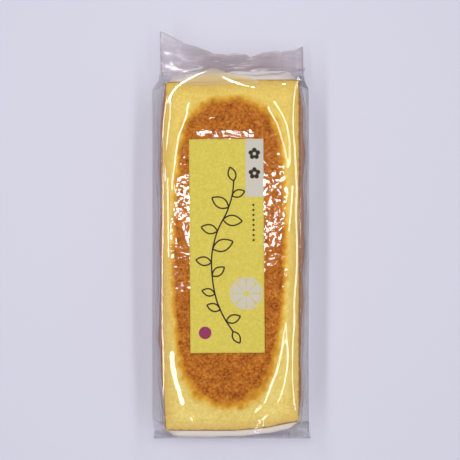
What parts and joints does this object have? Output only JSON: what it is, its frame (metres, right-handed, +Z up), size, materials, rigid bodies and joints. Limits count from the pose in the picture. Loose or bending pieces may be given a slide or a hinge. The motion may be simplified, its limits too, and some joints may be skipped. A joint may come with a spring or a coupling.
{
  "type": "packed castella sponge cake",
  "caption": "Loaf of castella sponge cake with a browned oval crown, sealed in a clear gusseted film bag with a flat heat-sealed flap, and a plain paper label on top.",
  "frame": {"origin": "on the table, under the middle of the loaf's flat base", "axes": "+Z up out of the browned top, +Y along the loaf towards the heat-sealed flap, +X across it to the right when seen from above with the flap away from the viewer"},
  "size_m": [0.0901, 0.2282, 0.0437],
  "materials": {
    "clear_film": "glossy clear film with the pale and browned sponge showing through",
    "label_paper": "matte yellow washi-like paper with a pale grey block"
  },
  "bodies": {
    "root": {"film_bag": "clear_film", "label": "label_paper"}
  },
  "joints": []
}
